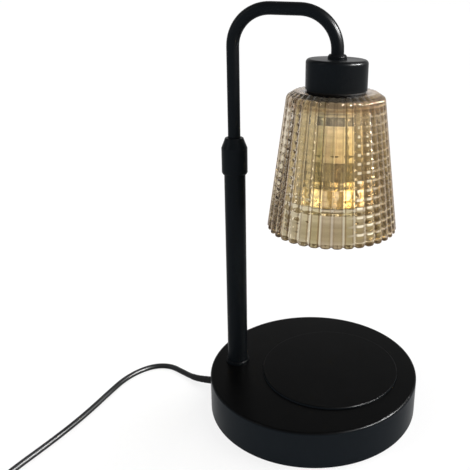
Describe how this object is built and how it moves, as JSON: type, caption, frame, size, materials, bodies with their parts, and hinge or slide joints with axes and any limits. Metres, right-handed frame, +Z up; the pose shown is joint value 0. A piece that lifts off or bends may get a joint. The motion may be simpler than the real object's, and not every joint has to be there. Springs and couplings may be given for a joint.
{
  "type": "candle warmer lamp",
  "caption": "Table lamp that warms a candle from above: round weighted base, telescopic post with twist-lock collar, hooked swivel arm, fluted glass shade and inline dimmer.",
  "frame": {"origin": "centre of the base on the surface it stands on, measured without the free lead", "axes": "+Z up; +X from the post towards the shade; -Y is the front"},
  "size_m": [0.2648, 0.262, 0.2827],
  "materials": {
    "black_coat": "satin black powder coat on steel",
    "amber_glass": "clear amber moulded glass with a faint violet lustre, fluted outside and ringed inside",
    "clear_glass": "clear bulb glass",
    "reflector": "gold-toned aluminised reflector",
    "ceramic": "glazed off-white ceramic",
    "cast_iron": "raw cast iron",
    "dark_steel": "dark plated steel",
    "zinc_steel": "zinc plated steel",
    "brass": "plain brass",
    "nickel_brass": "nickel plated brass",
    "nylon": "black nylon",
    "black_plastic": "fine-textured black plastic",
    "black_rubber": "black soft rubber",
    "cord_jacket": "dark flexible PVC sheath",
    "board": "green circuit board"
  },
  "bodies": {
    "stand": {"base_shell": "black_coat", "base_weight": "cast_iron", "base_plate": "dark_steel", "plate_screws": "zinc_steel", "foot_ring": "black_rubber", "cord_gland": "black_rubber", "base_lead": "cord_jacket", "post_nipple": "brass", "post_washer": "zinc_steel", "post_nut": "zinc_steel", "post_plug": "zinc_steel", "post_ring": "black_coat", "post_tube": "black_coat", "post_bush": "nylon", "collet": "nylon", "dimmer_base": "black_plastic", "dimmer_cover": "black_plastic", "dimmer_screws": "zinc_steel", "dimmer_board": "board", "dimmer_pot": "dark_steel", "dimmer_relief_in": "black_plastic", "dimmer_relief_out": "black_plastic", "plug_relief": "black_plastic", "plug_body": "black_plastic", "plug_pins": "nickel_brass", "lamp_cord": "cord_jacket", "coil_cord": "cord_jacket", "cord_coil": "cord_jacket", "plug_cord": "cord_jacket"},
    "collar": {"lock_collar": "black_coat"},
    "glide": {"glide_bush": "nylon"},
    "arm": {"glide_clips": "zinc_steel", "arm_tube": "black_coat", "arm_lead": "cord_jacket", "arm_ferrule": "black_coat", "holder_cap": "black_coat", "cap_nut": "zinc_steel", "holder_sleeve": "zinc_steel", "grub_screws": "zinc_steel", "lampholder": "ceramic", "holder_contacts": "brass", "shade_gasket_upper": "black_rubber", "shade_glass": "amber_glass", "shade_gasket_lower": "black_rubber", "shade_ring": "zinc_steel"},
    "bulb": {"bulb_base": "ceramic", "bulb_pins": "zinc_steel", "bulb_reflector": "reflector", "bulb_lens": "clear_glass", "bulb_capsule": "clear_glass"},
    "dimmer_knob": {"dimmer_wheel": "black_plastic"}
  },
  "joints": [
    {"name": "collar_twist", "type": "hinge", "parent": "stand", "child": "collar", "pos_m": [-0.057, 0, 0.182], "axis": [0, 0, 1], "range_deg": [0, 180]},
    {"name": "height_slide", "type": "slide", "parent": "stand", "child": "glide", "axis": [0, 0, 1], "range_m": [-0.045, 0.05]},
    {"name": "arm_swivel", "type": "hinge", "parent": "glide", "child": "arm", "pos_m": [-0.057, 0, 0.097], "axis": [0, 0, 1], "range_deg": [-170, 170]},
    {"name": "bulb_twist", "type": "hinge", "parent": "arm", "child": "bulb", "pos_m": [0.0096, 0, 0.195], "axis": [0, 0, 1], "range_deg": [-25, 0]},
    {"name": "dimmer_turn", "type": "hinge", "parent": "stand", "child": "dimmer_knob", "pos_m": [-0.097, -0.17, 0.016], "axis": [0, 0, 1], "range_deg": [-135, 135]}
  ]
}
